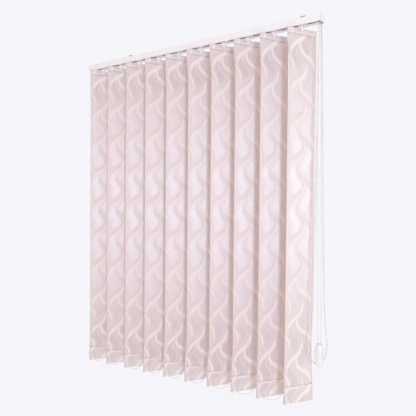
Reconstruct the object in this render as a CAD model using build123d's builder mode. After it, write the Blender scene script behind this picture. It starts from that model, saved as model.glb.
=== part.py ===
from build123d import *
import math
import os

os.makedirs("parts", exist_ok=True)

# Vertical blind, in millimetres. +X runs along the rail to the control end, +Y to the wall, +Z up.
# The origin is midway between the two ceiling screws, on the ceiling.

# Driving sizes: slats
slat_count = 10
slat_pitch = 80.0
slat_width = 89.0
slat_drop = 968.0
slat_tilt_deg = 60.0
fabric_thickness = 0.5
top_pocket_height = 14.0
bottom_pocket_height = 43.0
fold_radius = 1.2
slat_gap = 8.8

# Driving sizes: rail and brackets
bracket_spacing = 596.0
right_overhang = 47.0
end_to_slat = 54.0
far_end_to_slat = 62.0
rail_depth = 30.0
rail_height = 18.5
rail_wall = 1.2
rail_round = 1.4
slot_width = 8.4
channel_depth = 4.0
channel_mouth = 20.0
bracket_sheet = 0.8
bracket_length = 12.0
bracket_hook = 1.8
screw_hole_radius = 2.2
clearance = 0.3
overrun = 2.0
route_share = 0.45

# Driving sizes: tilt drive
rod_radius = 1.9
flute_radius = 0.5
flute_count = 4
rod_y = 3.0
rod_depth = 10.0
worm_radius = 2.9
worm_length = 16.0
stem_y = -4.0
stem_radius = 1.9
wheel_radius = 3.8
wheel_root_radius = 3.1
wheel_height = 3.8
wheel_teeth = 12
tooth_tip_width = 0.7
tooth_root_width = 1.2

# Driving sizes: runners and spacer strips
runner_length = 22.0
runner_width = 20.4
runner_top_depth = 6.7
wing_width = 26.6
wing_height = 1.8
collar_radius = 2.9
collar_drop = 1.1
strip_width = 6.0
strip_thickness = 0.3
strip_step = 0.55
strip_lanes = 4
strip_stop_width = 9.0
strip_stop_length = 3.0
strip_past = 6.0
post_size = 3.0
post_inset = 0.5
post_y = 7.5

# Driving sizes: hooks and hangers
bridge_width = 9.0
bridge_height = 1.7
finger_width = 5.0
finger_sheet = 1.1
finger_flare = 2.0
finger_reach = 3.0
rear_finger_reach = 1.2
hanger_thickness = 1.2
hanger_width = 79.0
hanger_height = 11.8
hanger_inset = 1.4
tab_width = 15.0
tab_height = 4.6
window_width = 8.0
window_height = 2.4
window_rise = 0.8
pin_width = 6.5

# Driving sizes: bottom weights and linking chains
weight_thickness = 2.0
weight_width = 79.0
weight_height = 38.0
weight_corner = 4.0
chain_hook_reach = 6.0
chain_hook_height = 6.0
chain_hook_rise = 26.0
chain_hook_neck = 2.6
link_chain_radius = 0.9
link_chain_sides = 6
link_run = [(0.0, 0.0), (6.0, -8.5), (17.0, -17.0), (31.0, -20.5)]

# Driving sizes: control end, cords and chain
control_cap_length = 11.0
far_cap_length = 3.0
cap_wall = 1.4
cord_radius = 0.8
cord_lane_y = 12.3
cord_lane_depth = 7.5
cord_wrap_radius = 4.5
far_pulley_inset = 17.0
far_bearing_inset = 31.0
far_bearing_wall = 3.0
pulley_width = 2.4
pulley_lip = 0.5
pulley_seat_width = 1.4
pulley_edge = 0.1
axle_radius = 1.4
cheek_sheet = 1.0
cheek_margin = 5.5
boss_wall = 1.2
strand_inset = 5.5
cord_inset = 9.0
chain_core_radius = 1.2
bead_radius = 2.2
bead_pitch = 7.8
sprocket_pockets = 5
sprocket_width = 5.6
sprocket_groove = 3.4
sprocket_lip = 1.2
drum_bore = 2.0

# Driving sizes: cord weight
bob_length = 66.0
bob_sides = 8
bob_top_radius = 6.6
bob_radius = 11.2
bob_shoulder_radius = 9.6
bob_tip_radius = 2.6
bob_crown_share = 0.28
bob_shoulder_share = 0.75
bob_slot_width = 12.0
bob_slot_thickness = 4.4
bob_slot_depth = 20.0
bob_pin_radius = 3.2
bob_top_z = -836.0
bob_lean = 11.0
bob_facing_deg = 34.8
soft_turn = 200.0

# Places worked out from the driving sizes
rail_top = -bracket_sheet
rail_bottom = rail_top - rail_height
rail_right = bracket_spacing / 2 + right_overhang
last_slat_x = rail_right - end_to_slat
rail_left = last_slat_x - (slat_count - 1) * slat_pitch - far_end_to_slat
slat_top = rail_bottom - slat_gap
slat_bottom = slat_top - slat_drop
rail_floor = rail_bottom + rail_wall
web_under = rail_top - channel_depth
rod_z = rail_top - rod_depth
lane_z = rail_top - cord_lane_depth
runner_top = rail_top - runner_top_depth
strip_top = web_under - clearance
worm_bore = rod_radius + clearance
chain_wrap_radius = bead_pitch / (2 * math.sin(math.pi / sprocket_pockets))
tilt = math.radians(slat_tilt_deg)
across = Vector(math.cos(tilt), math.sin(tilt), 0)
behind = Vector(-math.sin(tilt), math.cos(tilt), 0)
top_pocket_thickness = hanger_thickness + 2 * clearance + 2 * fabric_thickness
bottom_pocket_thickness = weight_thickness + 2 * clearance + 2 * fabric_thickness
strand_x = rail_right - strand_inset
cord_drop_x = rail_right - cord_inset
cord_pulley_x = cord_drop_x - cord_wrap_radius
cord_pulley_z = lane_z - cord_wrap_radius
far_pulley_x = rail_left + far_pulley_inset
bob_turned = math.radians(bob_facing_deg)
facing = Vector(math.cos(bob_turned), math.sin(bob_turned), 0)


def slat_x(index):
    """Place along the rail of slat number index, counted from 1 at the far end."""
    return last_slat_x - (slat_count - index) * slat_pitch


def slat_plane(index):
    """A slat's own level plane: x across its width, y to its back, at the ceiling's height."""
    return Plane(origin=(slat_x(index), stem_y, 0), x_dir=across, z_dir=(0, 0, 1))


def slat_section(index, half_width):
    """A plane across a slat's width at its left end: x to its back, y up."""
    return Plane(
        origin=Vector(slat_x(index), stem_y, 0) - across * half_width,
        x_dir=behind,
        z_dir=across,
    )


def rail_section(x):
    """A plane across the rail at x: sketch x is to the wall, sketch y is up."""
    return Plane(origin=(x, 0, 0), x_dir=(0, 1, 0), z_dir=(1, 0, 0))


def save(part, name):
    """Label a finished piece and write it to its own file."""
    part.label = name
    export_step(part, f"parts/{name}.step")


def corner_radii(points):
    """The radius at each corner of a cord's route: as large as its two runs allow."""
    radii = []
    for before, corner, after in zip(points, points[1:], points[2:]):
        run_in = Vector(*corner) - Vector(*before)
        run_out = Vector(*after) - Vector(*corner)
        half_turn = math.radians(run_in.get_angle(run_out)) / 2
        shorter = min(run_in.length, run_out.length)
        radii.append(route_share * shorter / math.tan(half_turn))
    return radii


# Headrail: an aluminium channel with a recessed top for the screw heads and a slot below
with BuildPart() as headrail:
    with BuildSketch(rail_section(rail_left + far_cap_length)):
        with Locations((0, (rail_top + rail_bottom) / 2)):
            Rectangle(rail_depth, rail_height)
        with Locations((0, (web_under + rail_floor) / 2)):
            Rectangle(rail_depth - 2 * rail_wall, web_under - rail_floor, mode=Mode.SUBTRACT)
        with Locations((stem_y, rail_bottom)):
            Rectangle(slot_width, 2 * rail_wall + overrun, mode=Mode.SUBTRACT)
        with Locations((0, rail_top - channel_depth / 2)):
            Rectangle(
                rail_depth - 2 * rail_wall,
                channel_depth - 2 * rail_wall,
                mode=Mode.SUBTRACT,
            )
        with Locations((0, rail_top)):
            Rectangle(channel_mouth, 2 * rail_wall + overrun / 2, mode=Mode.SUBTRACT)
    extrude(amount=rail_right - control_cap_length - rail_left - far_cap_length)
    outer = headrail.edges().filter_by(Axis.X).group_by(Axis.Y)
    fillet(outer[0] + outer[-1], rail_round)
save(headrail.part, "headrail")

# Two ceiling brackets: sheet clips that grip the rail's top edges, each with one screw hole
with BuildPart() as ceiling_brackets:
    for side in (-1, 1):
        start = side * bracket_spacing / 2 - bracket_length / 2
        with BuildSketch(rail_section(start)):
            grip = rail_depth + 2 * (bracket_sheet + clearance / 2)
            with Locations((0, rail_top + bracket_sheet / 2)):
                Rectangle(grip, bracket_sheet)
            with Locations(
                (-grip / 2 + bracket_sheet / 2, -bracket_hook / 2),
                (grip / 2 - bracket_sheet / 2, -bracket_hook / 2),
            ):
                Rectangle(bracket_sheet, bracket_hook)
        extrude(amount=bracket_length)
    with Locations((-bracket_spacing / 2, 0, 0), (bracket_spacing / 2, 0, 0)):
        Hole(screw_hole_radius, depth=bracket_sheet + overrun)
save(ceiling_brackets.part, "ceiling_brackets")

# Far end cap: an end plate, a floor inside the rail, the rod's bearing and the pulley's axle
inner_width = rail_depth - 2 * rail_wall - 2 * clearance
floor_top = rail_floor + clearance + cap_wall
pulley_top = lane_z + pulley_width / 2
with BuildPart() as far_end_cap:
    with BuildSketch(rail_section(rail_left)):
        with Locations((0, (rail_top + rail_bottom) / 2)):
            RectangleRounded(rail_depth, rail_height, rail_round)
    extrude(amount=far_cap_length)
    with BuildSketch(rail_section(rail_left + far_cap_length)):
        with Locations((0, floor_top - cap_wall / 2)):
            Rectangle(inner_width, cap_wall)
    extrude(amount=far_bearing_inset + far_bearing_wall - far_cap_length)
    with BuildSketch(rail_section(rail_left + far_bearing_inset)):
        with Locations((0, (floor_top + web_under - clearance) / 2)):
            Rectangle(runner_width, web_under - clearance - floor_top)
        with Locations((rod_y, rod_z)):
            Circle(rod_radius + clearance / 2, mode=Mode.SUBTRACT)
    extrude(amount=far_bearing_wall)
    with BuildSketch(Plane.XY.offset(floor_top)):
        with Locations((far_pulley_x, 0)):
            Circle(axle_radius + clearance)
    extrude(amount=pulley_top + clearance - floor_top)
    with BuildSketch(Plane.XY.offset(floor_top)):
        with Locations((far_pulley_x, 0)):
            Circle(2 * axle_radius + clearance)
    extrude(amount=pulley_top - pulley_width - clearance / 2 - floor_top)
save(far_end_cap.part, "far_end_cap")


def make_pulley(name, hub, axis, wrap_radius, bore):
    """A grooved pulley on the axis direction given, whose cord's centre line wraps at wrap_radius."""
    rim = wrap_radius + pulley_lip
    seat = wrap_radius - cord_radius - clearance / 4
    half = pulley_width / 2
    radial = Vector(1, 0, 0)
    with BuildPart() as pulley:
        with BuildSketch(Plane(origin=hub, x_dir=radial, z_dir=radial.cross(Vector(*axis)))):
            with BuildLine():
                Polyline(
                    (bore, -half),
                    (rim, -half),
                    (rim, pulley_edge - half),
                    (seat, -pulley_seat_width / 2),
                    (seat, pulley_seat_width / 2),
                    (rim, half - pulley_edge),
                    (rim, half),
                    (bore, half),
                    close=True,
                )
            make_face()
        revolve(axis=Axis(hub, axis))
    save(pulley.part, name)


# The far pulley turns the cord back along the rail, and the two at the control end turn it down
far_bore = axle_radius + clearance + clearance / 2
make_pulley("far_pulley", (far_pulley_x, 0, lane_z), (0, 0, 1), cord_lane_y, far_bore)
for name, side in (("cord_pulley_front", -1), ("cord_pulley_rear", 1)):
    hub = (cord_pulley_x, side * cord_lane_y, cord_pulley_z)
    make_pulley(name, hub, (0, 1, 0), cord_wrap_radius, axle_radius + clearance / 2)

# Control end cap: a hollow end piece, open below, with two cheeks that carry the pulleys
cheek_outer = cord_lane_y - pulley_width / 2 - clearance
cheek_front = strand_x - sprocket_width / 2 - 2 * clearance
cheek_back = cord_pulley_x - cheek_margin
cheek_bottom = rail_floor + 2 * clearance
with BuildPart() as control_end_cap:
    with BuildSketch(rail_section(rail_right - control_cap_length)):
        with Locations((0, (rail_top + rail_bottom) / 2)):
            RectangleRounded(rail_depth, rail_height, rail_round)
    extrude(amount=control_cap_length)
    with BuildSketch(rail_section(rail_right - control_cap_length)):
        with Locations((0, (rail_top + rail_bottom - cap_wall) / 2)):
            Rectangle(rail_depth - 2 * cap_wall, rail_height - cap_wall)
    extrude(amount=control_cap_length - cap_wall, mode=Mode.SUBTRACT)
    for side in (-1, 1):
        cheek = Plane(origin=(0, side * cheek_outer, 0), x_dir=(1, 0, 0), z_dir=(0, -1, 0))
        with BuildSketch(cheek):
            with BuildLine():
                Polyline(
                    (cheek_back, cheek_bottom),
                    (cheek_front, cheek_bottom),
                    (cheek_front, rail_top - cap_wall / 2),
                    (rail_right - control_cap_length + clearance, rail_top - cap_wall / 2),
                    (rail_right - control_cap_length + clearance, web_under - clearance),
                    (cheek_back, web_under - clearance),
                    close=True,
                )
            make_face()
        extrude(amount=side * cheek_sheet)
        axle = (cord_pulley_x, side * cheek_outer, cord_pulley_z)
        with BuildSketch(Plane(origin=axle, x_dir=(1, 0, 0), z_dir=(0, side, 0))):
            Circle(axle_radius)
        extrude(amount=pulley_width + clearance + clearance / 2)
    with BuildSketch(rail_section(rail_right - cap_wall)):
        with Locations((rod_y, rod_z)):
            Circle(rod_radius + boss_wall)
            Circle(rod_radius + clearance / 2, mode=Mode.SUBTRACT)
    extrude(amount=-cap_wall / 2)
save(control_end_cap.part, "control_end_cap")

# Tilt rod: a fluted rod from the far bearing to the control end
with BuildPart() as tilt_rod:
    with BuildSketch(rail_section(rail_left + far_bearing_inset + clearance)):
        with Locations((rod_y, rod_z)):
            Circle(rod_radius)
            with PolarLocations(rod_radius, flute_count):
                Circle(flute_radius, mode=Mode.SUBTRACT)
    extrude(amount=rail_right - cap_wall - 2 * clearance - rail_left - far_bearing_inset)
save(tilt_rod.part, "tilt_rod")

# Chain sprocket: a grooved drum with a pocket for each bead
sprocket_centre = (strand_x, rod_y, rod_z)
with BuildPart() as chain_sprocket:
    with BuildSketch(Plane(origin=sprocket_centre, x_dir=(0, 1, 0), z_dir=(0, 0, -1))):
        rim = chain_wrap_radius + sprocket_lip
        seat = chain_wrap_radius - chain_core_radius - clearance
        with BuildLine():
            Polyline(
                (drum_bore, -sprocket_width / 2),
                (rim, -sprocket_width / 2),
                (seat, -sprocket_groove / 2),
                (seat, sprocket_groove / 2),
                (rim, sprocket_width / 2),
                (drum_bore, sprocket_width / 2),
                close=True,
            )
        make_face()
    revolve(axis=Axis(sprocket_centre, (1, 0, 0)))
    with Locations(Plane(origin=sprocket_centre, x_dir=(0, 1, 0), z_dir=(1, 0, 0))):
        with PolarLocations(chain_wrap_radius, sprocket_pockets):
            Cylinder(bead_radius + clearance, 2 * bead_radius + clearance, mode=Mode.SUBTRACT)
save(chain_sprocket.part, "chain_sprocket")


def make_runner(index):
    """A runner with its worm sleeve, and the spacer strip that draws its left neighbour."""
    x = slat_x(index)
    start = x - runner_length / 2
    wing_bottom = rail_floor + clearance
    body_bottom = wing_bottom + wing_height
    wheel_bottom = rod_z - wheel_height / 2
    with BuildPart() as runner:
        with BuildSketch(rail_section(start)):
            with Locations((0, (runner_top + body_bottom) / 2)):
                Rectangle(runner_width, runner_top - body_bottom)
            with Locations((0, wing_bottom + wing_height / 2)):
                Rectangle(wing_width, wing_height)
            with Locations((rod_y, rod_z)):
                Circle(worm_bore, mode=Mode.SUBTRACT)
        extrude(amount=runner_length)
        with BuildSketch(rail_section(x - worm_length / 2 - clearance)):
            with Locations((rod_y, rod_z)):
                Circle(worm_radius + clearance)
        extrude(amount=worm_length + 2 * clearance, mode=Mode.SUBTRACT)
        with BuildSketch(Plane.XY.offset(wing_bottom)):
            with Locations((x, stem_y)):
                Circle(collar_radius)
        extrude(amount=rail_bottom - collar_drop - wing_bottom)
        with BuildSketch(Plane.XY.offset(wheel_bottom - clearance)):
            with Locations((x, stem_y)):
                Circle(wheel_radius + clearance)
        extrude(amount=runner_top - wheel_bottom + overrun, mode=Mode.SUBTRACT)
        with BuildSketch(Plane.XY.offset(rail_bottom - collar_drop - overrun)):
            with Locations((x, stem_y)):
                Circle(stem_radius + clearance)
        extrude(amount=wheel_bottom - rail_bottom + collar_drop + overrun, mode=Mode.SUBTRACT)
        if index == 1:
            with BuildSketch(rail_section(x - runner_length / 4)):
                clamp_wall = cord_radius + 2 * clearance
                with Locations((-(runner_width + wing_width) / 4, lane_z)):
                    Rectangle((wing_width - runner_width) / 2, 2 * clamp_wall + runner_top - lane_z)
                with Locations((-cord_lane_y, lane_z)):
                    Circle(cord_radius + clearance, mode=Mode.SUBTRACT)
            extrude(amount=runner_length / 2)
        else:
            lane_top = strip_top - (index % strip_lanes) * strip_step
            lane_bottom = lane_top - strip_thickness
            post_x = x + runner_length / 2 - post_inset - post_size / 2
            with BuildSketch(Plane.XY.offset(runner_top)):
                with Locations((post_x, post_y)):
                    Rectangle(post_size, post_size)
            extrude(amount=lane_bottom - runner_top)
    pieces = [runner.part]
    with BuildPart() as worm:
        with BuildSketch(rail_section(x - worm_length / 2)):
            with Locations((rod_y, rod_z)):
                Circle(worm_radius)
                Circle(worm_bore, mode=Mode.SUBTRACT)
        extrude(amount=worm_length)
    pieces.append(worm.part)
    if index > 1:
        tip = slat_x(index - 1) - strip_past
        root = post_x + post_size / 2
        with BuildPart() as strip:
            with BuildSketch(Plane.XY.offset(lane_bottom)):
                with Locations(((tip + root) / 2, 0)):
                    Rectangle(root - tip, strip_width)
                with Locations((tip + strip_stop_length / 2, 0)):
                    Rectangle(strip_stop_length, strip_stop_width)
                with Locations((post_x, post_y / 2 + post_size / 4)):
                    Rectangle(post_size, post_y + post_size / 2)
            extrude(amount=strip_thickness)
        pieces.append(strip.part)
    save(Compound(children=pieces), f"runner_{index}")


def make_hook(index):
    """A hook's stem with its toothed wheel and fingers, and the hanger plate that it carries."""
    x = slat_x(index)
    bridge_bottom = slat_top + tab_height + clearance
    bridge_top = bridge_bottom + bridge_height
    half = top_pocket_thickness / 2
    inner = half + clearance
    outer = inner + finger_sheet
    window_bottom = slat_top + window_rise
    wheel_bottom = rod_z - wheel_height / 2
    with BuildPart() as hook:
        with BuildSketch(Plane.XY.offset(wheel_bottom)):
            with Locations((x, stem_y)):
                Circle(wheel_root_radius)
                with PolarLocations((wheel_root_radius + wheel_radius) / 2, wheel_teeth):
                    Trapezoid(
                        tooth_root_width,
                        wheel_radius - wheel_root_radius + clearance / 2,
                        math.degrees(
                            math.atan2(
                                wheel_radius - wheel_root_radius + clearance / 2,
                                (tooth_root_width - tooth_tip_width) / 2,
                            )
                        ),
                        rotation=-90,
                    )
        extrude(amount=wheel_height)
        with BuildSketch(Plane.XY.offset(bridge_top)):
            with Locations((x, stem_y)):
                Circle(stem_radius)
        extrude(amount=wheel_bottom - bridge_top)
        with BuildSketch(slat_section(index, bridge_width / 2)):
            with Locations((0, bridge_bottom + bridge_height / 2)):
                Rectangle(2 * outer, bridge_height)
        extrude(amount=bridge_width)
        with BuildSketch(slat_section(index, finger_width / 2)):
            with BuildLine():
                Polyline(
                    (-inner, bridge_bottom),
                    (-outer, bridge_bottom),
                    (-outer, slat_top + window_rise),
                    (-outer - finger_flare, slat_top - finger_reach),
                    (-inner - finger_flare, slat_top - finger_reach),
                    (-inner, slat_top + window_rise),
                    close=True,
                )
            make_face()
            with Locations(((inner + outer) / 2, (bridge_bottom + slat_top - rear_finger_reach) / 2)):
                Rectangle(finger_sheet, bridge_bottom - slat_top + rear_finger_reach)
        extrude(amount=finger_width)
        with BuildSketch(slat_section(index, pin_width / 2)):
            with Locations((0, window_bottom + window_height / 2 + clearance / 2)):
                Rectangle(2 * outer, window_height - clearance)
        extrude(amount=pin_width)
    with BuildPart() as hanger:
        plate_bottom = slat_top - hanger_inset - hanger_height
        plate_origin = slat_plane(index).origin + behind * (hanger_thickness / 2)
        with BuildSketch(Plane(origin=plate_origin, x_dir=across, z_dir=-behind)):
            with Locations((0, plate_bottom + hanger_height / 2)):
                Rectangle(hanger_width, hanger_height)
            with Locations((0, (slat_top + tab_height + plate_bottom) / 2)):
                Rectangle(tab_width, slat_top + tab_height - plate_bottom)
            with Locations((0, window_bottom + window_height / 2)):
                Rectangle(window_width, window_height + clearance / 2, mode=Mode.SUBTRACT)
        extrude(amount=hanger_thickness)
    save(Compound(children=[hook.part, hanger.part]), f"hook_{index}")


def make_slat(index):
    """A fabric strip with a folded and sewn pocket at its top and at its bottom."""
    inside_top = top_pocket_thickness - 2 * fabric_thickness
    inside_bottom = bottom_pocket_thickness - 2 * fabric_thickness
    with BuildPart() as slat:
        with BuildSketch(slat_section(index, slat_width / 2)):
            with Locations((0, (slat_top + slat_bottom) / 2)):
                Rectangle(fabric_thickness, slat_drop - 2 * fold_radius)
            with Locations((0, slat_top - top_pocket_height / 2)):
                RectangleRounded(top_pocket_thickness, top_pocket_height, fold_radius - clearance)
                Rectangle(inside_top, top_pocket_height - 2 * fabric_thickness, mode=Mode.SUBTRACT)
            with Locations((0, slat_bottom + bottom_pocket_height / 2)):
                RectangleRounded(bottom_pocket_thickness, bottom_pocket_height, fold_radius)
                Rectangle(
                    inside_bottom,
                    bottom_pocket_height - 2 * fabric_thickness,
                    mode=Mode.SUBTRACT,
                )
        extrude(amount=slat_width)
        with BuildSketch(slat_section(index, tab_width / 2 + clearance)):
            with Locations((0, slat_top)):
                Rectangle(top_pocket_thickness + overrun, 2 * hanger_inset)
        extrude(amount=tab_width + 2 * clearance, mode=Mode.SUBTRACT)
    save(slat.part, f"slat_{index}")


def make_weight(index):
    """The plate in a slat's bottom pocket, with a hook for the linking chain at each end."""
    plate_bottom = slat_bottom + fabric_thickness + clearance
    hook_z = slat_bottom + chain_hook_rise
    with BuildPart() as weight:
        plate_origin = slat_plane(index).origin + behind * (weight_thickness / 2)
        with BuildSketch(Plane(origin=plate_origin, x_dir=across, z_dir=-behind)):
            with Locations((0, plate_bottom + weight_height / 2)):
                RectangleRounded(weight_width, weight_height, weight_corner)
            reach = slat_width / 2 + chain_hook_reach - chain_hook_neck / 2
            with Locations((0, hook_z)):
                Rectangle(2 * reach, chain_hook_neck)
        extrude(amount=weight_thickness)
        with BuildSketch(slat_plane(index).offset(hook_z - chain_hook_height / 2)):
            with Locations((-reach, 0), (reach, 0)):
                Circle(chain_hook_neck / 2)
        extrude(amount=chain_hook_height)
    save(weight.part, f"weight_{index}")


for number in range(1, slat_count + 1):
    make_runner(number)
    make_hook(number)
    make_slat(number)
    make_weight(number)

# Linking chains: nine hanging spans in front of the slats and nine behind, as plain strands
link_gap = chain_hook_neck / 2 + link_chain_radius
hook_reach = slat_width / 2 + chain_hook_reach - chain_hook_neck / 2
for name, side in (("front_chain", -1), ("rear_chain", 1)):
    strands = []
    for number in range(1, slat_count):
        clip = Vector(slat_x(number), stem_y, slat_bottom + chain_hook_rise)
        clip += across * (side * hook_reach)
        falling = [(clip.X + link_gap + dx, clip.Y, clip.Z + dz) for dx, dz in link_run]
        far_x = 2 * clip.X + slat_pitch
        rising = [(far_x - px, py, pz) for px, py, pz in reversed(falling)]
        route = falling + rising
        with BuildPart() as strand:
            with BuildLine():
                chain_line = FilletPolyline(*route, radius=corner_radii(route))
            with BuildSketch(Plane(origin=chain_line @ 0, x_dir=(0, 1, 0), z_dir=chain_line % 0)):
                RegularPolygon(link_chain_radius, link_chain_sides)
            sweep()
        strands.append(strand.part)
    save(Compound(children=strands), name)

# Draw cord in the rail: from one cord pulley round the far pulley and back
turn = cord_lane_y - clearance / 4
cord_run_route = [
    (cord_pulley_x, -cord_lane_y, lane_z),
    (far_pulley_x - cord_lane_y, -cord_lane_y, lane_z),
    (far_pulley_x - cord_lane_y, cord_lane_y, lane_z),
    (cord_pulley_x, cord_lane_y, lane_z),
]
with BuildPart() as draw_cord_run:
    with BuildLine():
        run_line = FilletPolyline(*cord_run_route, radius=turn)
    with BuildSketch(Plane(origin=run_line @ 0, z_dir=run_line % 0)):
        Circle(cord_radius)
    sweep()
save(draw_cord_run.part, "draw_cord_run")

# Draw cord loop: over the front pulley, down, round the pin in the cord weight, and up again
bob_x = rail_right - cord_inset + bob_lean
bob_pin_z = bob_top_z - bob_slot_depth + bob_pin_radius + 2 * cord_radius + 2 * clearance
spread = facing * (bob_pin_radius + cord_radius + clearance)
loop_bottom = bob_pin_z - bob_pin_radius - cord_radius - clearance
cord_loop_route = [
    (cord_pulley_x, -cord_lane_y, lane_z),
    (cord_drop_x, -cord_lane_y, lane_z),
    (bob_x - spread.X, -spread.Y, bob_top_z),
    (bob_x - spread.X, -spread.Y, loop_bottom),
    (bob_x + spread.X, spread.Y, loop_bottom),
    (bob_x + spread.X, spread.Y, bob_top_z),
    (cord_drop_x, cord_lane_y, lane_z),
    (cord_pulley_x, cord_lane_y, lane_z),
]
bob_turn = bob_pin_radius + cord_radius + clearance * 3 / 4
cord_loop_radii = [
    cord_wrap_radius - clearance / 4,
    soft_turn,
    bob_turn,
    bob_turn,
    soft_turn,
    cord_wrap_radius - clearance / 4,
]
with BuildPart() as draw_cord_loop:
    with BuildLine():
        loop_line = FilletPolyline(*cord_loop_route, radius=cord_loop_radii)
    with BuildSketch(Plane(origin=loop_line @ 0, z_dir=loop_line % 0)):
        Circle(cord_radius)
    sweep()
save(draw_cord_loop.part, "draw_cord_loop")

# Cord weight: an eight-sided drop with a slot for the cord and a pin across the slot
bob_crown_z = bob_top_z - bob_crown_share * bob_length
bob_shoulder_z = bob_top_z - bob_shoulder_share * bob_length
bob_tip_z = bob_top_z - bob_length
with BuildPart() as cord_weight:
    for level, radius in (
        (bob_top_z, bob_top_radius),
        (bob_crown_z, bob_radius),
        (bob_shoulder_z, bob_shoulder_radius),
        (bob_tip_z, bob_tip_radius),
    ):
        with BuildSketch(Plane(origin=(bob_x, 0, level), x_dir=facing, z_dir=(0, 0, 1))):
            RegularPolygon(radius, bob_sides, major_radius=False, rotation=180 / bob_sides)
    loft(ruled=True)
    with BuildSketch(Plane(origin=(bob_x, 0, bob_top_z), x_dir=facing, z_dir=(0, 0, -1))):
        Rectangle(bob_slot_width, bob_slot_thickness)
    extrude(amount=bob_slot_depth, mode=Mode.SUBTRACT)
    pin_origin = Vector(bob_x, 0, bob_pin_z)
    with BuildSketch(Plane(origin=pin_origin, x_dir=facing, z_dir=facing.cross(Vector(0, 0, 1)))):
        Circle(bob_pin_radius)
    extrude(amount=bob_slot_thickness / 2 + clearance, both=True)
save(cord_weight.part, "cord_weight")

# Bead chain: over the sprocket and down to a free loop beside the cord weight, as a plain strand
chain_top = rod_z + chain_wrap_radius
chain_route = [
    (strand_x, rod_y + clearance / 2, chain_top),
    (strand_x, rod_y + chain_wrap_radius, chain_top),
    (352.5, 9.4, -699.0),
    (358.0, 12.6, -801.0),
    (362.0, 16.0, -848.0),
    (355.0, 19.5, -876.0),
    (343.5, 16.5, -889.0),
    (332.8, 2.0, -889.0),
    (323.0, -3.0, -876.0),
    (323.8, -8.2, -848.0),
    (330.0, -8.6, -801.0),
    (331.6, -7.4, -699.0),
    (strand_x, rod_y - chain_wrap_radius, chain_top),
    (strand_x, rod_y - clearance / 2, chain_top),
]
chain_radii = corner_radii(chain_route)
chain_radii[0] = chain_wrap_radius - clearance
chain_radii[-1] = chain_radii[0]
with BuildPart() as bead_chain:
    with BuildLine():
        bead_line = FilletPolyline(*chain_route, radius=chain_radii)
    with BuildSketch(Plane(origin=bead_line @ 0, z_dir=bead_line % 0)):
        Circle(chain_core_radius)
    sweep()
save(bead_chain.part, "bead_chain")

print("bead chain radii", [round(r, 1) for r in chain_radii])
print("bead chain length", round(bead_line.length, 1), "volume", round(bead_chain.part.volume, 1))
print("bead chain section times length", round(math.pi * chain_core_radius**2 * bead_line.length, 1))
print("draw cord loop length", round(loop_line.length, 1), "run length", round(run_line.length, 1))
cord_section = math.pi * cord_radius**2
print("draw cord loop volume", round(draw_cord_loop.part.volume, 1))
print("draw cord loop section times length", round(cord_section * loop_line.length, 1))
print("link chain span radii", [round(r, 1) for r in corner_radii(route)])
print("link chain span length", round(chain_line.length, 1))
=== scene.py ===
import math

import bmesh
import bpy
from mathutils import Matrix, Vector


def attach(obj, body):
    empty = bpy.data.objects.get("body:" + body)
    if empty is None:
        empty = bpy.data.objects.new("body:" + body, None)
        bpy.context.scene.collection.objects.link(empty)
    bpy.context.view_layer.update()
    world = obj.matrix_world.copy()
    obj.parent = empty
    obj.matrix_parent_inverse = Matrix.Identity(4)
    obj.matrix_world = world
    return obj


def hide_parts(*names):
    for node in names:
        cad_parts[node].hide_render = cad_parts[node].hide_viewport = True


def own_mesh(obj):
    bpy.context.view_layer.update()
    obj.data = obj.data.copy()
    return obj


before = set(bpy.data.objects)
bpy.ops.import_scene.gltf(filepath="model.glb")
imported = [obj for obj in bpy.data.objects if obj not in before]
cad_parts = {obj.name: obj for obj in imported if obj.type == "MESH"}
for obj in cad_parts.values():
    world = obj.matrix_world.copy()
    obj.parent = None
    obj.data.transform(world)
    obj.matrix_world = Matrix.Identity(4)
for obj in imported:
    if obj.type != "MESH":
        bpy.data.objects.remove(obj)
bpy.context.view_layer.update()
scene = bpy.context.scene
scene.view_settings.view_transform = "Standard"
MM = 0.001

# Sizes of the solids, in millimetres, as part.py has them
slat_count = 10
slat_pitch = 80.0
slat_width = 89.0
slat_drop = 968.0
slat_tilt = math.radians(60.0)
last_slat_x = 291.0
stem_y = -4.0
slat_top = -28.1
slat_bottom = slat_top - slat_drop
top_pocket = 14.0
bottom_pocket = 43.0
fabric = 0.5
across = Vector((math.cos(slat_tilt), math.sin(slat_tilt), 0.0))
behind = Vector((-math.sin(slat_tilt), math.cos(slat_tilt), 0.0))
rail_left, rail_right = -491.0, 345.0
rod_y, rod_z = 3.0, -10.8
lane_y, lane_z = 12.3, -8.3
strand_x = rail_right - 5.5
cord_radius = 0.8
bead_radius, bead_pitch = 2.2, 7.8
bead_wrap = bead_pitch / (2 * math.sin(math.pi / 5))


def slat_x(index):
    return last_slat_x - (slat_count - index) * slat_pitch


# Node helpers for the materials


def new_material(name):
    material = bpy.data.materials.new(name)
    material.use_nodes = True
    tree = material.node_tree
    return material, tree, tree.nodes["Principled BSDF"]


def node(tree, kind, **values):
    made = tree.nodes.new(kind)
    for key, value in values.items():
        setattr(made, key, value)
    return made


def put(tree, source, target):
    """Links a socket, or sets a constant, on a target socket."""
    if isinstance(source, bpy.types.NodeSocket):
        tree.links.new(source, target)
    else:
        target.default_value = source


def calc(tree, operation, a, b=0.0, c=0.0):
    made = node(tree, "ShaderNodeMath", operation=operation)
    for socket, value in zip(made.inputs, (a, b, c)):
        put(tree, value, socket)
    return made.outputs[0]


def blend_colour(tree, factor, a, b, kind="MIX"):
    made = node(tree, "ShaderNodeMix", data_type="RGBA", blend_type=kind)
    put(tree, factor, made.inputs[0])
    put(tree, a, made.inputs[6])
    put(tree, b, made.inputs[7])
    return made.outputs[2]


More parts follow.
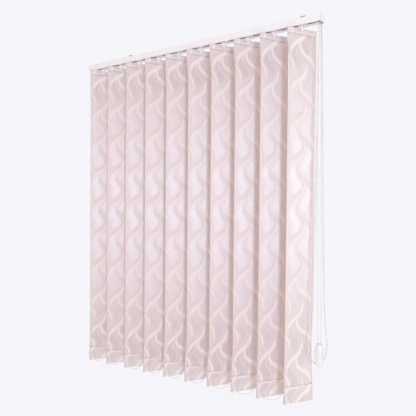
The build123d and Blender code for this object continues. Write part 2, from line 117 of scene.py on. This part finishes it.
def span(tree, value, low, high, out_low=0.0, out_high=1.0, smooth=True):
    """Maps a value from one range to another, and holds it at the ends."""
    kind = "SMOOTHSTEP" if smooth else "LINEAR"
    made = node(tree, "ShaderNodeMapRange", interpolation_type=kind)
    for socket, v in zip(made.inputs, (value, low, high, out_low, out_high)):
        put(tree, v, socket)
    return made.outputs[0]


def noise(tree, vector, scale, detail):
    made = node(tree, "ShaderNodeTexNoise")
    put(tree, vector, made.inputs["Vector"])
    made.inputs["Scale"].default_value = scale
    made.inputs["Detail"].default_value = detail
    return made.outputs[0]


def bump(tree, shader, height, distance, strength):
    made = node(tree, "ShaderNodeBump")
    made.inputs["Strength"].default_value = strength
    made.inputs["Distance"].default_value = distance
    put(tree, height, made.inputs["Height"])
    tree.links.new(made.outputs[0], shader.inputs["Normal"])


def colour(r, g, b):
    """A colour given as it looks on the screen, 0 to 255, as Blender's linear value."""

    def linear(v):
        v /= 255
        return v / 12.92 if v <= 0.04045 else ((v + 0.055) / 1.055) ** 2.4

    return (linear(r), linear(g), linear(b), 1.0)


mottle_scale = 38.0
grain_depth = 0.00003
fine_depth = 0.00001


def surface(
    name, base, dirt, rough, grain, metal=0.0, depth=grain_depth, stretch=(1, 1, 1), coat=0.0
):
    """A hard surface: a base colour with soft mottling, a rough map and a fine grain."""
    material, tree, shader = new_material(name)
    place = node(tree, "ShaderNodeTexCoord").outputs["Object"]
    scaled = node(tree, "ShaderNodeMapping")
    scaled.inputs["Scale"].default_value = stretch
    tree.links.new(place, scaled.inputs["Vector"])
    broad = noise(tree, place, mottle_scale, 4.0)
    fine = noise(tree, scaled.outputs[0], grain, 3.0)
    tone = blend_colour(tree, span(tree, broad, 0.35, 0.75), base, dirt)
    tree.links.new(tone, shader.inputs["Base Color"])
    worn = span(tree, fine, 0.2, 0.8, rough - 0.06, rough + 0.08)
    tree.links.new(worn, shader.inputs["Roughness"])
    shader.inputs["Metallic"].default_value = metal
    shader.inputs["Coat Weight"].default_value = coat
    bump(tree, shader, fine, depth, 0.5)
    return material


rail_paint = surface(
    "rail_paint", colour(243, 239, 250), colour(240, 236, 247), rough=0.34, grain=900.0, coat=0.15
)
white_plastic = surface(
    "white_plastic", colour(244, 240, 252), colour(240, 236, 248), rough=0.4, grain=1400.0
)
runner_plastic = surface(
    "runner_plastic", colour(240, 238, 230), colour(231, 228, 218), rough=0.45, grain=1500.0
)
hook_plastic = surface(
    "hook_plastic", colour(247, 243, 242), colour(243, 239, 238), rough=0.4, grain=1400.0
)
# The chain's white plastic is set darker and beige as painted shade, standing in for the shaded
# outlines of its beads; the second colour only adds random mottling.
chain_plastic_painted_shade = surface(
    "chain_plastic_painted_shade",
    colour(231, 223, 221),
    colour(225, 216, 213),
    rough=0.25,
    grain=1100.0,
    depth=fine_depth,
)
gloss_plastic = surface(
    "gloss_plastic",
    colour(240, 233, 241),
    colour(236, 228, 236),
    rough=0.2,
    grain=1100.0,
    depth=fine_depth,
)
steel = surface(
    "bracket_steel",
    colour(176, 176, 178),
    colour(150, 150, 154),
    rough=0.38,
    grain=500.0,
    metal=1.0,
    stretch=(1, 12, 12),
)
aluminium = surface(
    "rod_aluminium",
    colour(205, 206, 208),
    colour(188, 189, 192),
    rough=0.3,
    grain=700.0,
    metal=1.0,
    stretch=(0.1, 8, 8),
)


def cord_material(name, base, painted_groove_shade, pitch):
    """A braided cord: slanting strands in two directions along its hang, with the grooves between
    them darkened as painted shade.
    """
    material, tree, shader = new_material(name)
    place = node(tree, "ShaderNodeTexCoord").outputs["Object"]
    part = node(tree, "ShaderNodeSeparateXYZ")
    tree.links.new(place, part.inputs[0])
    level = calc(tree, "ADD", part.outputs[2], calc(tree, "MULTIPLY", part.outputs[0], 0.6))
    turn = calc(tree, "MULTIPLY", level, 2 * math.pi / pitch)
    side = calc(tree, "MULTIPLY", part.outputs[1], 1.2 * math.pi / pitch)
    one = calc(tree, "SINE", calc(tree, "ADD", turn, side))
    two = calc(tree, "SINE", calc(tree, "SUBTRACT", turn, side))
    height = calc(tree, "MAXIMUM", one, two)
    # Painted shade: the tone darkens towards the second colour in the grooves between the strands.
    tone = blend_colour(tree, span(tree, height, -0.4, 0.7), painted_groove_shade, base)
    tree.links.new(tone, shader.inputs["Base Color"])
    shader.inputs["Roughness"].default_value = 0.75
    shader.inputs["Sheen Weight"].default_value = 0.2
    bump(tree, shader, height, 0.0001, 0.6)
    return material


# The second colour is painted shade for the grooves between the braid's strands.
white_cord = cord_material("white_cord", colour(238, 232, 238), colour(212, 205, 208), 1.7 * MM)

# Slat fabric: two columns of satin leaves, the right one mirrored and half a repeat lower, between
# flowing ribbons. The highlight is stretched across the slat, so the satin shines at one height and
# is darker elsewhere. Lengths are in metres, as the UV map "cloth" has them.
wave_repeat = 102.0 * MM
leaf_start = 42.5 * MM
leaf_column = 25.2 * MM
leaf_length = 77.0 * MM
leaf_half_width = 12.8 * MM
leaf_swing = 7.3 * MM
leaf_lean = 3.5 * MM
leaf_bend_turn, leaf_bend_start = 7.3, -0.51
leaf_lean_power = 7.0
leaf_swell_skew, leaf_swell_power = 1.42, 0.63
right_column = slat_width * MM - leaf_column - 1.5 * MM
line_width = 1.6 * MM
soft = 0.4 * MM
warp_pitch, weft_pitch = 0.45 * MM, 0.6 * MM


def leaf_field(tree, u, v, column, start, side):
    """A column of leaves: how far a point is outside its leaf, and how far right of its middle.

    Both are measured across the slat, and side is 1, or -1 for leaves that are mirrored."""
    down = calc(tree, "FLOORED_MODULO", calc(tree, "SUBTRACT", v, start), wave_repeat)
    t = calc(tree, "DIVIDE", down, leaf_length)
    bend = calc(tree, "SINE", calc(tree, "MULTIPLY_ADD", t, leaf_bend_turn, leaf_bend_start))
    lean = calc(tree, "POWER", calc(tree, "MULTIPLY_ADD", t, -2.0, 1.0), leaf_lean_power)
    axis = calc(tree, "MULTIPLY_ADD", bend, -leaf_swing, calc(tree, "MULTIPLY", lean, leaf_lean))
    off = calc(tree, "MULTIPLY_ADD", axis, -side, calc(tree, "SUBTRACT", u, column))
    skewed = calc(tree, "POWER", t, leaf_swell_skew)
    swell = calc(tree, "SINE", calc(tree, "MULTIPLY", skewed, math.pi))
    swell = calc(tree, "POWER", calc(tree, "MAXIMUM", swell, 0.0), leaf_swell_power)
    outside = calc(tree, "MULTIPLY_ADD", swell, -leaf_half_width, calc(tree, "ABSOLUTE", off))
    return outside, off


def ribbon(tree, u, v, start, length, middle, turn, reach, steep, half, taper):
    """A tapered ribbon that flows across the slat in an S as it goes down: 1 inside it, 0 outside.

    It crosses its middle line turn below its start, and reach is how far it swings either side."""
    down = calc(tree, "FLOORED_MODULO", calc(tree, "SUBTRACT", v, start), wave_repeat)
    swing = calc(tree, "TANH", calc(tree, "DIVIDE", calc(tree, "SUBTRACT", down, turn), steep))
    off = calc(tree, "SUBTRACT", u, calc(tree, "MULTIPLY_ADD", swing, reach, middle))
    squared = calc(tree, "MULTIPLY", swing, swing)
    slope = calc(tree, "MULTIPLY_ADD", squared, -1.0, 1.0)
    slope = calc(tree, "MULTIPLY", slope, reach / steep)
    slant = calc(tree, "SQRT", calc(tree, "MULTIPLY_ADD", slope, slope, 1.0))
    swell = calc(tree, "SINE", calc(tree, "MULTIPLY", down, math.pi / length))
    swell = calc(tree, "POWER", calc(tree, "MAXIMUM", swell, 0.0), taper)
    swell = calc(tree, "MULTIPLY", swell, half)
    near = calc(tree, "SUBTRACT", calc(tree, "DIVIDE", calc(tree, "ABSOLUTE", off), slant), swell)
    return span(tree, near, -2 * soft, 0.0, 1.0, 0.0)


def beside(tree, outside, off):
    """A thin line along the right side of the leaves."""
    near = span(tree, outside, line_width - soft, line_width + soft, 1.0, 0.0)
    return calc(tree, "MULTIPLY", near, span(tree, off, 0.0, soft))


def slat_material():
    material, tree, shader = new_material("slat_satin")
    uv = node(tree, "ShaderNodeUVMap", uv_map="cloth").outputs[0]
    part = node(tree, "ShaderNodeSeparateXYZ")
    tree.links.new(uv, part.inputs[0])
    u, v = part.outputs[0], part.outputs[1]
    left, left_off = leaf_field(tree, u, v, leaf_column, leaf_start, 1)
    right_start = leaf_start + wave_repeat / 2
    right, right_off = leaf_field(tree, u, v, right_column, right_start, -1)
    leaf = span(tree, calc(tree, "MINIMUM", left, right), -soft, soft, 1.0, 0.0)
    rising = ribbon(
        tree,
        u,
        v,
        start=leaf_start - 56 * MM,
        length=88 * MM,
        middle=33 * MM,
        turn=47 * MM,
        reach=-25 * MM,
        steep=18 * MM,
        half=5.8 * MM,
        taper=0.6,
    )
    falling = ribbon(
        tree,
        u,
        v,
        start=leaf_start - 10 * MM,
        length=70 * MM,
        middle=61 * MM,
        turn=38 * MM,
        reach=23 * MM,
        steep=16 * MM,
        half=6.4 * MM,
        taper=0.5,
    )
    border = ribbon(
        tree,
        u,
        v,
        start=leaf_start + 28 * MM,
        length=50 * MM,
        middle=7 * MM,
        turn=12 * MM,
        reach=9.5 * MM,
        steep=12 * MM,
        half=3.4 * MM,
        taper=0.7,
    )
    lines = calc(tree, "MAXIMUM", beside(tree, left, left_off), beside(tree, right, right_off))
    light = calc(tree, "MAXIMUM", calc(tree, "MAXIMUM", rising, falling), border)
    light = calc(tree, "MAXIMUM", light, lines)
    plain = calc(tree, "SUBTRACT", 1.0, leaf)
    band = calc(tree, "MULTIPLY", calc(tree, "SUBTRACT", 1.0, light), plain)
    warp = calc(tree, "SINE", calc(tree, "MULTIPLY", u, 2 * math.pi / warp_pitch))
    weft = calc(tree, "SINE", calc(tree, "MULTIPLY", v, 2 * math.pi / weft_pitch))
    stretched = node(tree, "ShaderNodeMapping")
    stretched.inputs["Scale"].default_value = (1600.0, 60.0, 1.0)
    tree.links.new(uv, stretched.inputs["Vector"])
    slub = noise(tree, stretched.outputs[0], 1.0, 2.0)
    tone = blend_colour(tree, band, colour(243, 231, 233), colour(238, 222, 224))
    tone = blend_colour(tree, leaf, tone, colour(242, 228, 230))
    thread = span(tree, slub, 0.2, 0.8, 0.975, 1.015, smooth=False)
    shade = node(tree, "ShaderNodeCombineColor")
    for socket in shade.inputs:
        tree.links.new(thread, socket)
    tone = blend_colour(tree, 1.0, tone, shade.outputs[0], "MULTIPLY")
    tree.links.new(tone, shader.inputs["Base Color"])
    satin = calc(tree, "MULTIPLY_ADD", band, 0.5, leaf)
    rough = span(tree, satin, 0.0, 1.0, 0.82, 0.5, smooth=False)
    gleam = span(tree, satin, 0.0, 1.0, 0.0, 0.52, smooth=False)
    tree.links.new(rough, shader.inputs["Roughness"])
    tree.links.new(gleam, shader.inputs["Metallic"])
    shader.inputs["Anisotropic"].default_value = 1.0
    shader.inputs["IOR"].default_value = 1.5
    shader.inputs["Sheen Weight"].default_value = 0.1
    shader.inputs["Sheen Roughness"].default_value = 0.5
    tangent = node(tree, "ShaderNodeTangent", direction_type="UV_MAP", uv_map="cloth")
    tree.links.new(tangent.outputs[0], shader.inputs["Tangent"])
    weave = calc(tree, "MULTIPLY_ADD", weft, plain, warp)
    height = calc(tree, "MULTIPLY_ADD", leaf, -1.5, calc(tree, "MULTIPLY", weave, 0.35))
    bump(tree, shader, height, 0.00005, 0.35)
    return material


slat_satin = slat_material()


def mesh_piece(name, points, faces, material, body, smooth=True, uvs=None, flat=()):
    """Makes a mesh object from points in millimetres and rides it on a body.

    Faces whose numbers are in flat are shaded flat, so that the edges round them stay sharp."""
    mesh = bpy.data.meshes.new(name)
    mesh.from_pydata([tuple(c * MM for c in p) for p in points], [], faces)
    mesh.update()
    if uvs is not None:
        layer = mesh.uv_layers.new(name="cloth")
        for corner in mesh.loops:
            layer.data[corner.index].uv = uvs[corner.vertex_index]
    work = bmesh.new()
    work.from_mesh(mesh)
    bmesh.ops.recalc_face_normals(work, faces=work.faces)
    work.to_mesh(mesh)
    work.free()
    for face in mesh.polygons:
        face.use_smooth = smooth and face.index not in flat
    mesh.materials.append(material)
    piece = bpy.data.objects.new(name, mesh)
    scene.collection.objects.link(piece)
    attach(piece, body)
    return piece


# Slats: a single layer of cloth with a folded and welded pocket at its top and bottom


def smoothstep(value):
    value = max(0.0, min(1.0, value))
    return value * value * (3 - 2 * value)


panel_columns, panel_rows = 20, 150
notch_half, notch_depth = 7.6, 1.5
notch_edges = (7.4, 7.9)
closest_column = 1.2


def columns():
    """Places across a slat, in millimetres from its middle, with close ones at the tab's notch."""
    half = slat_width / 2
    even = [-half + slat_width * k / panel_columns for k in range(panel_columns + 1)]
    near = [s * v for s in (-1, 1) for v in notch_edges]
    kept = [c for c in even if all(abs(c - n) > closest_column for n in near)]
    return sorted(kept + near)


# How far each slat's front edge bows forward, in millimetres: at the top and at the bottom pocket.
# From one slat to the next the bow falls by less than 4 mm, and the last slat's is small low down,
# so that the stacked slats and the bead chain stay clear when the slats are turned.
bows = (
    (4.0, 4.0),
    (4.0, 4.0),
    (4.5, 4.5),
    (6.5, 6.5),
    (10.0, 10.5),
    (13.0, 14.5),
    (14.4, 11.6),
    (10.7, 7.9),
    (7.0, 4.2),
    (9.0, 0.5),
)
rear_curl = 6.0
bow_reach = 0.1
ripple_height, ripple_across, ripple_down, ripple_phase = 0.35, 28.0, 7.0, 1.7


def sway(index, u, z):
    """How far a slat's cloth bows out of its plane between its pockets, in millimetres."""
    down = (slat_top - top_pocket - z) / (slat_drop - top_pocket - bottom_pocket)
    if not 0.0 < down < 1.0:
        return 0.0
    held = smoothstep(min(down, 1.0 - down) / bow_reach)
    upper, lower = bows[index - 1]
    phase = ripple_phase * index
    ripple = math.cos(u / ripple_across + phase) * math.sin(down * ripple_down + phase)
    bow = upper + (lower - upper) * down
    curl = rear_curl * (u / slat_width + 0.5)
    return held * (bow + ripple_height * ripple - curl)


# Pockets: half their thickness, the fold's height, and how they thin towards the seam
top_half, bottom_half = 1.4, 1.8
top_taper, bottom_taper = 3.0, 5.0
fold_height = 1.3
seam_half = 0.33
inner_least = 0.06
inner_gap = 1.0
tuck = 0.8


def pocket_rings(height, half, taper):
    """The outer and inner outlines of a pocket as (side, rise) pairs, from its seam round the fold.

    Side is towards the front, and rise is measured from the fold."""
    fold_steps, wall_steps, taper_steps = 8, 3, 5
    steps = []
    for k in range(fold_steps + 1):
        turn = math.pi / 2 * k / fold_steps
        steps.append((half * math.sin(turn), fold_height * (1 - math.cos(turn))))
    for k in range(1, wall_steps + 1):
        steps.append((half, fold_height + (height - taper - fold_height) * k / wall_steps))
    for k in range(1, taper_steps + 1):
        t = k / taper_steps
        steps.append((half + (seam_half - half) * smoothstep(t), height - taper + taper * t))
    outer = list(reversed(steps)) + [(-s, r) for s, r in steps[1:]]
    shorter = (height - 1.6 * fabric - inner_gap) / height
    inner = []
    for s, r in outer:
        sign = 1 if s >= 0 else -1
        inner.append((sign * max(abs(s) - fabric, inner_least), fabric + r * shorter))
    return outer, inner


def slat_piece(index):
    """A slat's cloth: a front and a back face with a rim, and a pocket tube at either end."""
    points, faces, uvs = [], [], []
    flat = set()
    base = Vector((slat_x(index), stem_y, 0.0))
    cols = columns()

    def place(u, side, z):
        """Adds a point: across the slat, towards its front, and its height."""
        out = sway(index, u, z) + side
        spot = base + across * u - behind * out
        points.append((spot.x, spot.y, z))

    def cloth(u, down):
        """Adds the point's place on the flat cloth."""
        uvs.append(((u + slat_width / 2) * MM, down * MM))

    panel_top = slat_top - top_pocket + tuck
    panel_bottom = slat_bottom + bottom_pocket - tuck
    rows = panel_rows
    for face in (1, -1):
        for r in range(rows + 1):
            z = panel_top + (panel_bottom - panel_top) * r / rows
            for u in cols:
                place(u, face * fabric / 2, z)
                cloth(u, slat_top - z)
    wide = len(cols)
    sheet_size = (rows + 1) * wide
    for face in range(2):
        for r in range(rows):
            for c in range(wide - 1):
                a = face * sheet_size + r * wide + c
                faces.append((a, a + 1, a + wide + 1, a + wide))
    rim = list(range(wide)) + [r * wide + wide - 1 for r in range(1, rows + 1)]
    rim += [rows * wide + c for c in reversed(range(wide - 1))]
    rim += [r * wide for r in reversed(range(1, rows))]
    for k, a in enumerate(rim):
        b = rim[(k + 1) % len(rim)]
        flat.add(len(faces))
        faces.append((a, b, b + sheet_size, a + sheet_size))

    for top in (True, False):
        if top:
            outer, inner = pocket_rings(top_pocket, top_half, top_taper)
        else:
            outer, inner = pocket_rings(bottom_pocket, bottom_half, bottom_taper)
        count = len(outer)
        start = len(points)
        for u in cols:
            notch = notch_depth if top and abs(u) < notch_half else 0.0
            for ring in (outer, inner):
                for side, rise in ring:
                    if top:
                        z = slat_top - max(rise, notch + 0.02 * rise)
                        down = -rise if side > 0 else rise
                    else:
                        z = slat_bottom + rise
                        down = slat_drop + rise if side > 0 else slat_drop - rise
                    place(u, side, z)
                    cloth(u, down)
        loop = 2 * count
        for c in range(wide - 1):
            for ring in range(2):
                for k in range(count):
                    a = start + c * loop + ring * count + k
                    b = start + c * loop + ring * count + (k + 1) % count
                    if k == count - 1:
                        flat.add(len(faces))
                    faces.append((a, b, b + loop, a + loop))
        for c in (0, wide - 1):
            for k in range(count):
                a = start + c * loop + k
                b = start + c * loop + (k + 1) % count
                flat.add(len(faces))
                faces.append((a, b, b + count, a + count))
    name, body = f"slat_cloth_{index}", f"vane_{index}"
    piece = mesh_piece(name, points, faces, slat_satin, body, uvs=uvs, flat=flat)
    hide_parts(f"slat_{index}")


# A hook's tongue: its outline across the slat and up from its top edge, and how far forward it lies
tongue_half, tongue_top = 3.4, 2.0
tongue_outline = (
    (-tongue_half, tongue_top),
    (tongue_half, tongue_top),
    (tongue_half, -5.2),
    (2.4, -6.9),
    (0.9, -7.6),
    (-0.9, -7.6),
    (-2.4, -6.9),
    (-tongue_half, -5.2),
)
tongue_back, tongue_front = 1.45, 2.45
bridge_bottom = 0.7
bridge_outline = (
    (-tongue_half, tongue_top),
    (tongue_half, tongue_top),
    (tongue_half, bridge_bottom),
    (-tongue_half, bridge_bottom),
)


def hook_tongue(index):
    """The hook's white tongue, which comes over the slat's top edge and down its front."""
    base = Vector((slat_x(index), stem_y, slat_top))
    points, faces = [], []

    def plate(outline, back, front):
        """Adds a closed plate with this outline, from back to front."""
        start, count = len(points), len(outline)
        for side in (back, front):
            for u, rise in outline:
                spot = base + across * u - behind * side
                points.append((spot.x, spot.y, spot.z + rise))
        faces.append(tuple(start + k for k in range(count)))
        faces.append(tuple(start + k for k in reversed(range(count, 2 * count))))
        for k in range(count):
            a, b = start + k, start + (k + 1) % count
            faces.append((a, b, b + count, a + count))

    plate(tongue_outline, tongue_back, tongue_front)
    # The bridge runs back to the hook's stem
    plate(bridge_outline, 0.0, tongue_back)
    name, body = f"hook_tongue_{index}", f"vane_{index}"
    mesh_piece(name, points, faces, hook_plastic, body, smooth=False)


for number in range(1, slat_count + 1):
    slat_piece(number)
    hook_tongue(number)


# Cords and chains


def route_curve(name, route):
    """A smooth line along a route: a NURBS spline with the route's points as its control points."""
    data = bpy.data.curves.new(name, "CURVE")
    data.dimensions = "3D"
    data.resolution_u = 12
    spline = data.splines.new("NURBS")
    spline.points.add(len(route) - 1)
    for point, place in zip(spline.points, route):
        point.co = (*[c * MM for c in place], 1.0)
    spline.order_u = 3
    spline.use_endpoint_u = True
    return data


def tube(name, route, radius, material, body):
    """A round cord along a route, riding on a body."""
    data = route_curve(name, route)
    data.bevel_depth = radius * MM
    data.bevel_resolution = 3
    data.use_fill_caps = True
    data.materials.append(material)
    piece = bpy.data.objects.new(name, data)
    scene.collection.objects.link(piece)
    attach(piece, body)
    return piece


def line_points(route):
    """Points read from a route's spline, in millimetres."""
    data = route_curve("line_only", route)
    holder = bpy.data.objects.new("line_only", data)
    mesh = bpy.data.meshes.new_from_object(holder)
    line = [v.co / MM for v in mesh.vertices]
    bpy.data.meshes.remove(mesh)
    bpy.data.objects.remove(holder)
    bpy.data.curves.remove(data)
    return line


def stations(line, step):
    """Places evenly spaced along a line, about step apart, each with its direction."""
    along = [0.0]
    for a, b in zip(line, line[1:]):
        along.append(along[-1] + (b - a).length)
    count = max(1, round(along[-1] / step))
    found, k = [], 0
    for n in range(count):
        at = (n + 0.5) * along[-1] / count
        while along[k + 1] < at:
            k += 1
        share = (at - along[k]) / (along[k + 1] - along[k])
        found.append((line[k].lerp(line[k + 1], share), (line[k + 1] - line[k]).normalized()))
    return found


def beaded(routes, ball, step, thread, rings, sides):
    """Points and faces of ball chains along routes: beads threaded on a thin core."""
    points, faces = [], []

    def ring_of(centre, along, radius):
        across_way = along.orthogonal().normalized()
        other = along.cross(across_way)
        for k in range(sides):
            turn = 2 * math.pi * k / sides
            out = across_way * math.cos(turn) + other * math.sin(turn)
            points.append(tuple(centre + out * radius))

    for route in routes:
        line = line_points(route)
        profile = []
        for centre, along in stations(line, step):
            for r in range(rings):
                turn = math.pi * (r + 0.5) / rings
                radius = max(ball * math.sin(turn), thread)
                profile.append((centre - along * ball * math.cos(turn), along, radius))
        start = len(points)
        for centre, along, radius in profile:
            ring_of(centre, along, radius)
        for r in range(len(profile) - 1):
            for k in range(sides):
                a = start + r * sides + k
                b = start + r * sides + (k + 1) % sides
                faces.append((a, b, b + sides, a + sides))
        last = start + (len(profile) - 1) * sides
        faces.append(tuple(range(start + sides - 1, start - 1, -1)))
        faces.append(tuple(range(last, last + sides)))
    return points, faces


# Routes of the draw cord and the bead chain, with the same points as in part.py
wrap_x = rail_right - 9.0
pulley_x = wrap_x - 4.5
bob_x = wrap_x + 11.0
bob_top = -836.0
bob_facing = math.radians(34.8)
facing = Vector((math.cos(bob_facing), math.sin(bob_facing), 0.0))
pin_radius = 3.2
bob_pin = bob_top - 20.0 + pin_radius + 2 * cord_radius + 0.6
spread = facing * (pin_radius + cord_radius + 0.3)
loop_bottom = bob_pin - pin_radius - cord_radius - 0.3
draw_route = [
    (pulley_x, -lane_y, lane_z),
    (wrap_x, -lane_y, lane_z),
    (wrap_x + 0.1, -lane_y + 0.1, lane_z - 10.0),
    (bob_x - spread.x - 0.2, -spread.y - 0.2, bob_top + 20.0),
    (bob_x - spread.x, -spread.y, bob_top),
    (bob_x - spread.x, -spread.y, loop_bottom),
    (bob_x + spread.x, spread.y, loop_bottom),
    (bob_x + spread.x, spread.y, bob_top),
    (bob_x + spread.x - 0.2, spread.y + 0.2, bob_top + 20.0),
    (wrap_x + 0.1, lane_y - 0.1, lane_z - 10.0),
    (wrap_x, lane_y, lane_z),
    (pulley_x, lane_y, lane_z),
]
far_x = rail_left + 17.0
run_route = [
    (pulley_x, -lane_y, lane_z),
    (far_x, -lane_y, lane_z),
    (far_x - lane_y, -lane_y, lane_z),
    (far_x - lane_y, lane_y, lane_z),
    (far_x, lane_y, lane_z),
    (pulley_x, lane_y, lane_z),
]
chain_top = rod_z + bead_wrap
chain_route = [
    (strand_x, rod_y + 0.15, chain_top),
    (strand_x, rod_y + bead_wrap, chain_top),
    (strand_x + 0.5, rod_y + bead_wrap, chain_top - 26.0),
    (352.5, 9.4, -699.0),
    (358.0, 12.6, -801.0),
    (362.0, 16.0, -848.0),
    (355.0, 19.5, -876.0),
    (343.5, 16.5, -889.0),
    (332.8, 2.0, -889.0),
    (323.0, -3.0, -876.0),
    (323.8, -8.2, -848.0),
    (330.0, -8.6, -801.0),
    (331.6, -7.4, -699.0),
    (strand_x - 0.3, rod_y - bead_wrap, chain_top - 26.0),
    (strand_x, rod_y - bead_wrap, chain_top),
    (strand_x, rod_y - 0.15, chain_top),
]

draw_cord = tube("draw_cord", draw_route, cord_radius, white_cord, "rail")
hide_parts("draw_cord_loop")
rail_cord = tube("rail_cord", run_route, cord_radius, white_cord, "rail")
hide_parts("draw_cord_run")
points, faces = beaded([chain_route], bead_radius, bead_pitch, thread=0.6, rings=8, sides=12)
control_chain = mesh_piece(
    "control_chain", points, faces, chain_plastic_painted_shade, "rail"
)
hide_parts("bead_chain")
[tuple(c * MM for c in p) for p in line_points(chain_route)]

# Linking chains: small ball chain from slat to slat, in front and behind
link_run = [(0.0, 0.0), (6.0, -8.5), (17.0, -17.0), (31.0, -20.5)]
hook_reach = slat_width / 2 + 6.0 - 1.3
link_gap = 1.3 + 0.9
clip_height = 26.0
link_radius, link_pitch = 1.15, 4.2
for name, side, body in (("front", -1, "front_links"), ("rear", 1, "rear_links")):
    routes = []
    for number in range(1, slat_count):
        clip = Vector((slat_x(number), stem_y, slat_bottom + clip_height))
        clip += across * (side * hook_reach)
        falling = [(clip.x + link_gap + dx, clip.y, clip.z + dz) for dx, dz in link_run]
        rising = [(2 * clip.x + slat_pitch - x, y, z) for x, y, z in reversed(falling)]
        routes.append(falling + rising)
    points, faces = beaded(routes, link_radius, link_pitch, thread=0.55, rings=6, sides=8)
    links = mesh_piece(f"{name}_link_chain", points, faces, chain_plastic_painted_shade, body)
    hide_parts(f"{name}_chain")
    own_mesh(links)

# The other solids keep their shape and get a finish
finishes = {
    "headrail": rail_paint,
    "control_end_cap": white_plastic,
    "far_end_cap": white_plastic,
    "ceiling_brackets": steel,
    "tilt_rod": aluminium,
    "chain_sprocket": white_plastic,
    "far_pulley": white_plastic,
    "cord_pulley_front": white_plastic,
    "cord_pulley_rear": white_plastic,
    "cord_weight": gloss_plastic,
}
for number in range(1, slat_count + 1):
    finishes[f"runner_{number}"] = runner_plastic
    finishes[f"hook_{number}"] = hook_plastic
    finishes[f"weight_{number}"] = white_plastic
for name, material in finishes.items():
    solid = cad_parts[name]
    solid.data.materials.clear()
    solid.data.materials.append(material)

# Floor, light and camera
background = colour(246, 246, 250)
floor_mesh = bpy.data.meshes.new("floor")
far, low = 30.0, -1.55
corners = [(-far, -far, low), (far, -far, low), (far, far, low), (-far, far, low)]
floor_mesh.from_pydata(corners, [], [(0, 1, 2, 3)])
floor = bpy.data.objects.new("floor", floor_mesh)
scene.collection.objects.link(floor)
paper, tree, shader = new_material("floor_paper")
shader.inputs["Base Color"].default_value = colour(244, 244, 248)
shader.inputs["Roughness"].default_value = 0.9
rays = node(tree, "ShaderNodeLightPath")
plain = node(tree, "ShaderNodeEmission")
plain.inputs["Color"].default_value = background
place = node(tree, "ShaderNodeNewGeometry").outputs["Position"]
reach = node(tree, "ShaderNodeVectorMath", operation="LENGTH")
tree.links.new(place, reach.inputs[0])
# Near the blind a little of the lit paper shows, with its shadow, and farther off the plain colour
away = span(tree, reach.outputs["Value"], 1.8, 4.0, 0.97, 1.0)
seen = calc(tree, "MAXIMUM", rays.outputs["Is Camera Ray"], rays.outputs["Is Glossy Ray"])
mixed = node(tree, "ShaderNodeMixShader")
tree.links.new(calc(tree, "MULTIPLY", seen, away), mixed.inputs[0])
tree.links.new(shader.outputs[0], mixed.inputs[1])
tree.links.new(plain.outputs[0], mixed.inputs[2])
tree.links.new(mixed.outputs[0], tree.nodes["Material Output"].inputs["Surface"])
floor_mesh.materials.append(paper)

world = bpy.data.worlds.new("studio")
scene.world = world
world.use_nodes = True
tree = world.node_tree
fill = tree.nodes["Background"]
fill.inputs["Color"].default_value = (1.0, 0.91, 0.75, 1.0)
# The fill is a little weaker from the control end's side
direction = node(tree, "ShaderNodeTexCoord").outputs["Generated"]
towards = node(tree, "ShaderNodeSeparateXYZ")
tree.links.new(direction, towards.inputs[0])
strength = span(tree, towards.outputs[0], -1.0, 1.0, 0.96, 0.76, smooth=False)
tree.links.new(strength, fill.inputs["Strength"])
shown = node(tree, "ShaderNodeBackground")
shown.inputs["Color"].default_value = background
rays = node(tree, "ShaderNodeLightPath")
seen = calc(tree, "MAXIMUM", rays.outputs["Is Camera Ray"], rays.outputs["Is Transmission Ray"])
seen = calc(tree, "MAXIMUM", seen, rays.outputs["Is Glossy Ray"])
mixed = node(tree, "ShaderNodeMixShader")
tree.links.new(seen, mixed.inputs[0])
tree.links.new(fill.outputs[0], mixed.inputs[1])
tree.links.new(shown.outputs[0], mixed.inputs[2])
tree.links.new(mixed.outputs[0], tree.nodes["World Output"].inputs["Surface"])


def area_light(name, place, target, wide, tall, power, tint):
    """A rectangular lamp that faces a target."""
    data = bpy.data.lights.new(name, "AREA")
    data.shape = "RECTANGLE"
    data.size = wide
    data.size_y = tall
    data.energy = power
    data.color = tint
    lamp = bpy.data.objects.new(name, data)
    lamp.location = place
    aim = Vector(target) - Vector(place)
    lamp.rotation_euler = aim.to_track_quat("-Z", "Y").to_euler()
    scene.collection.objects.link(lamp)


blind_middle = Vector((-0.07, 0.0, -0.5))
key_turn = math.radians(-46.5)
key_rise, key_distance = 0.034, 4.0
key_aim = Vector((math.cos(key_turn), math.sin(key_turn), key_rise))
key_place = blind_middle + key_aim * key_distance
key_tint = (0.65, 0.81, 1.0)
area_light("key", key_place, blind_middle, wide=0.5, tall=1.7, power=56.0, tint=key_tint)

# The camera fitted to the photo's edges: focal length and shift in pixels of a 416 pixel frame
frame_pixels = 416.0
focal_pixels, shift_pixels = 526.07, 19.778
sensor = 36.0
camera_data = bpy.data.cameras.new("camera")
camera = bpy.data.objects.new("camera", camera_data)
scene.collection.objects.link(camera)
scene.camera = camera
camera_data.sensor_width = sensor
camera_data.lens = focal_pixels * sensor / frame_pixels
camera_data.shift_y = shift_pixels / frame_pixels
turn, rise, roll = (math.radians(v) for v in (34.671, 1.117, 0.434))
right = Vector((math.cos(turn), math.sin(turn), 0.0))
level = math.cos(rise)
back = Vector((math.sin(turn) * level, -math.cos(turn) * level, math.sin(rise)))
up = back.cross(right)
rolled_right = right * math.cos(roll) + up * math.sin(roll)
rolled_up = up * math.cos(roll) - right * math.sin(roll)
pose = Matrix((rolled_right, rolled_up, back)).transposed().to_4x4()
pose.translation = Vector((871.43, -1262.02, -515.66)) * MM
camera.matrix_world = pose
